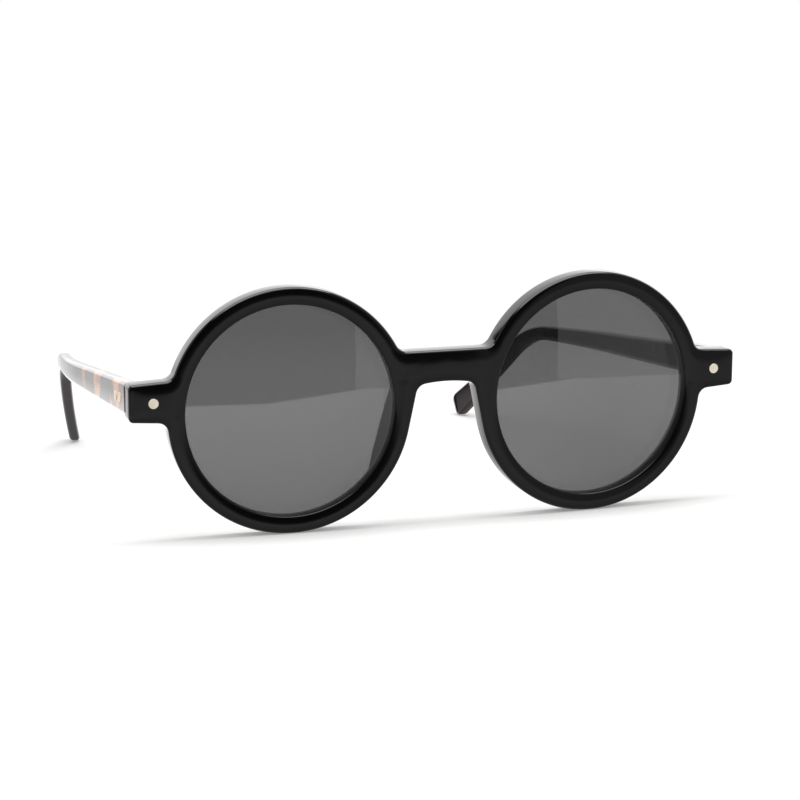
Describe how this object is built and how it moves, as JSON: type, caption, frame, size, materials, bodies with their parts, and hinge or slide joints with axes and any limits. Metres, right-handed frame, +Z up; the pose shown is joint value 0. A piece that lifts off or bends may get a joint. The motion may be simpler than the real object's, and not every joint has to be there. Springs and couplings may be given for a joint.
{
  "type": "round sunglasses",
  "caption": "Round sunglasses with a black acetate front, grey lenses, riveted hinges and folding tortoise temples with curved ends.",
  "frame": {"origin": "under the middle of the open glasses' box, on the surface they stand on", "axes": "the front faces -Y and its temples run back along +Y; +Z is up; -X is left and +X is right as seen from the front"},
  "size_m": [0.1426, 0.1424, 0.0548],
  "materials": {
    "black_acetate": "polished",
    "tortoise_acetate": "polished, mottled brown",
    "smoke_lens": "clear, evenly tinted grey",
    "champagne_metal": "polished nickel silver",
    "steel_metal": "drawn and milled"
  },
  "bodies": {
    "front": {"front_frame": "black_acetate", "lens_left": "smoke_lens", "lens_right": "smoke_lens", "nose_pad_left": "black_acetate", "nose_pad_right": "black_acetate", "front_rivet_left": "champagne_metal", "front_rivet_right": "champagne_metal", "hinge_front_leaf_left": "steel_metal", "hinge_front_leaf_right": "steel_metal", "hinge_screw_left": "steel_metal", "hinge_screw_right": "steel_metal"},
    "temple_left": {"hinge_temple_leaf_left": "steel_metal", "temple_left": "tortoise_acetate", "temple_core_left": "steel_metal", "temple_rivets_left": "champagne_metal"},
    "temple_right": {"hinge_temple_leaf_right": "steel_metal", "temple_right": "tortoise_acetate", "temple_core_right": "steel_metal", "temple_rivets_right": "champagne_metal"}
  },
  "joints": [
    {"name": "temple_left_fold", "type": "hinge", "parent": "front", "child": "temple_left", "pos_m": [-0.06558, -0.06161, 0.0312], "axis": [0, 0, -1], "range_deg": [0, 85.5]},
    {"name": "temple_right_fold", "type": "hinge", "parent": "front", "child": "temple_right", "pos_m": [0.06558, -0.06161, 0.0312], "axis": [0, 0, 1], "range_deg": [0, 78]}
  ]
}
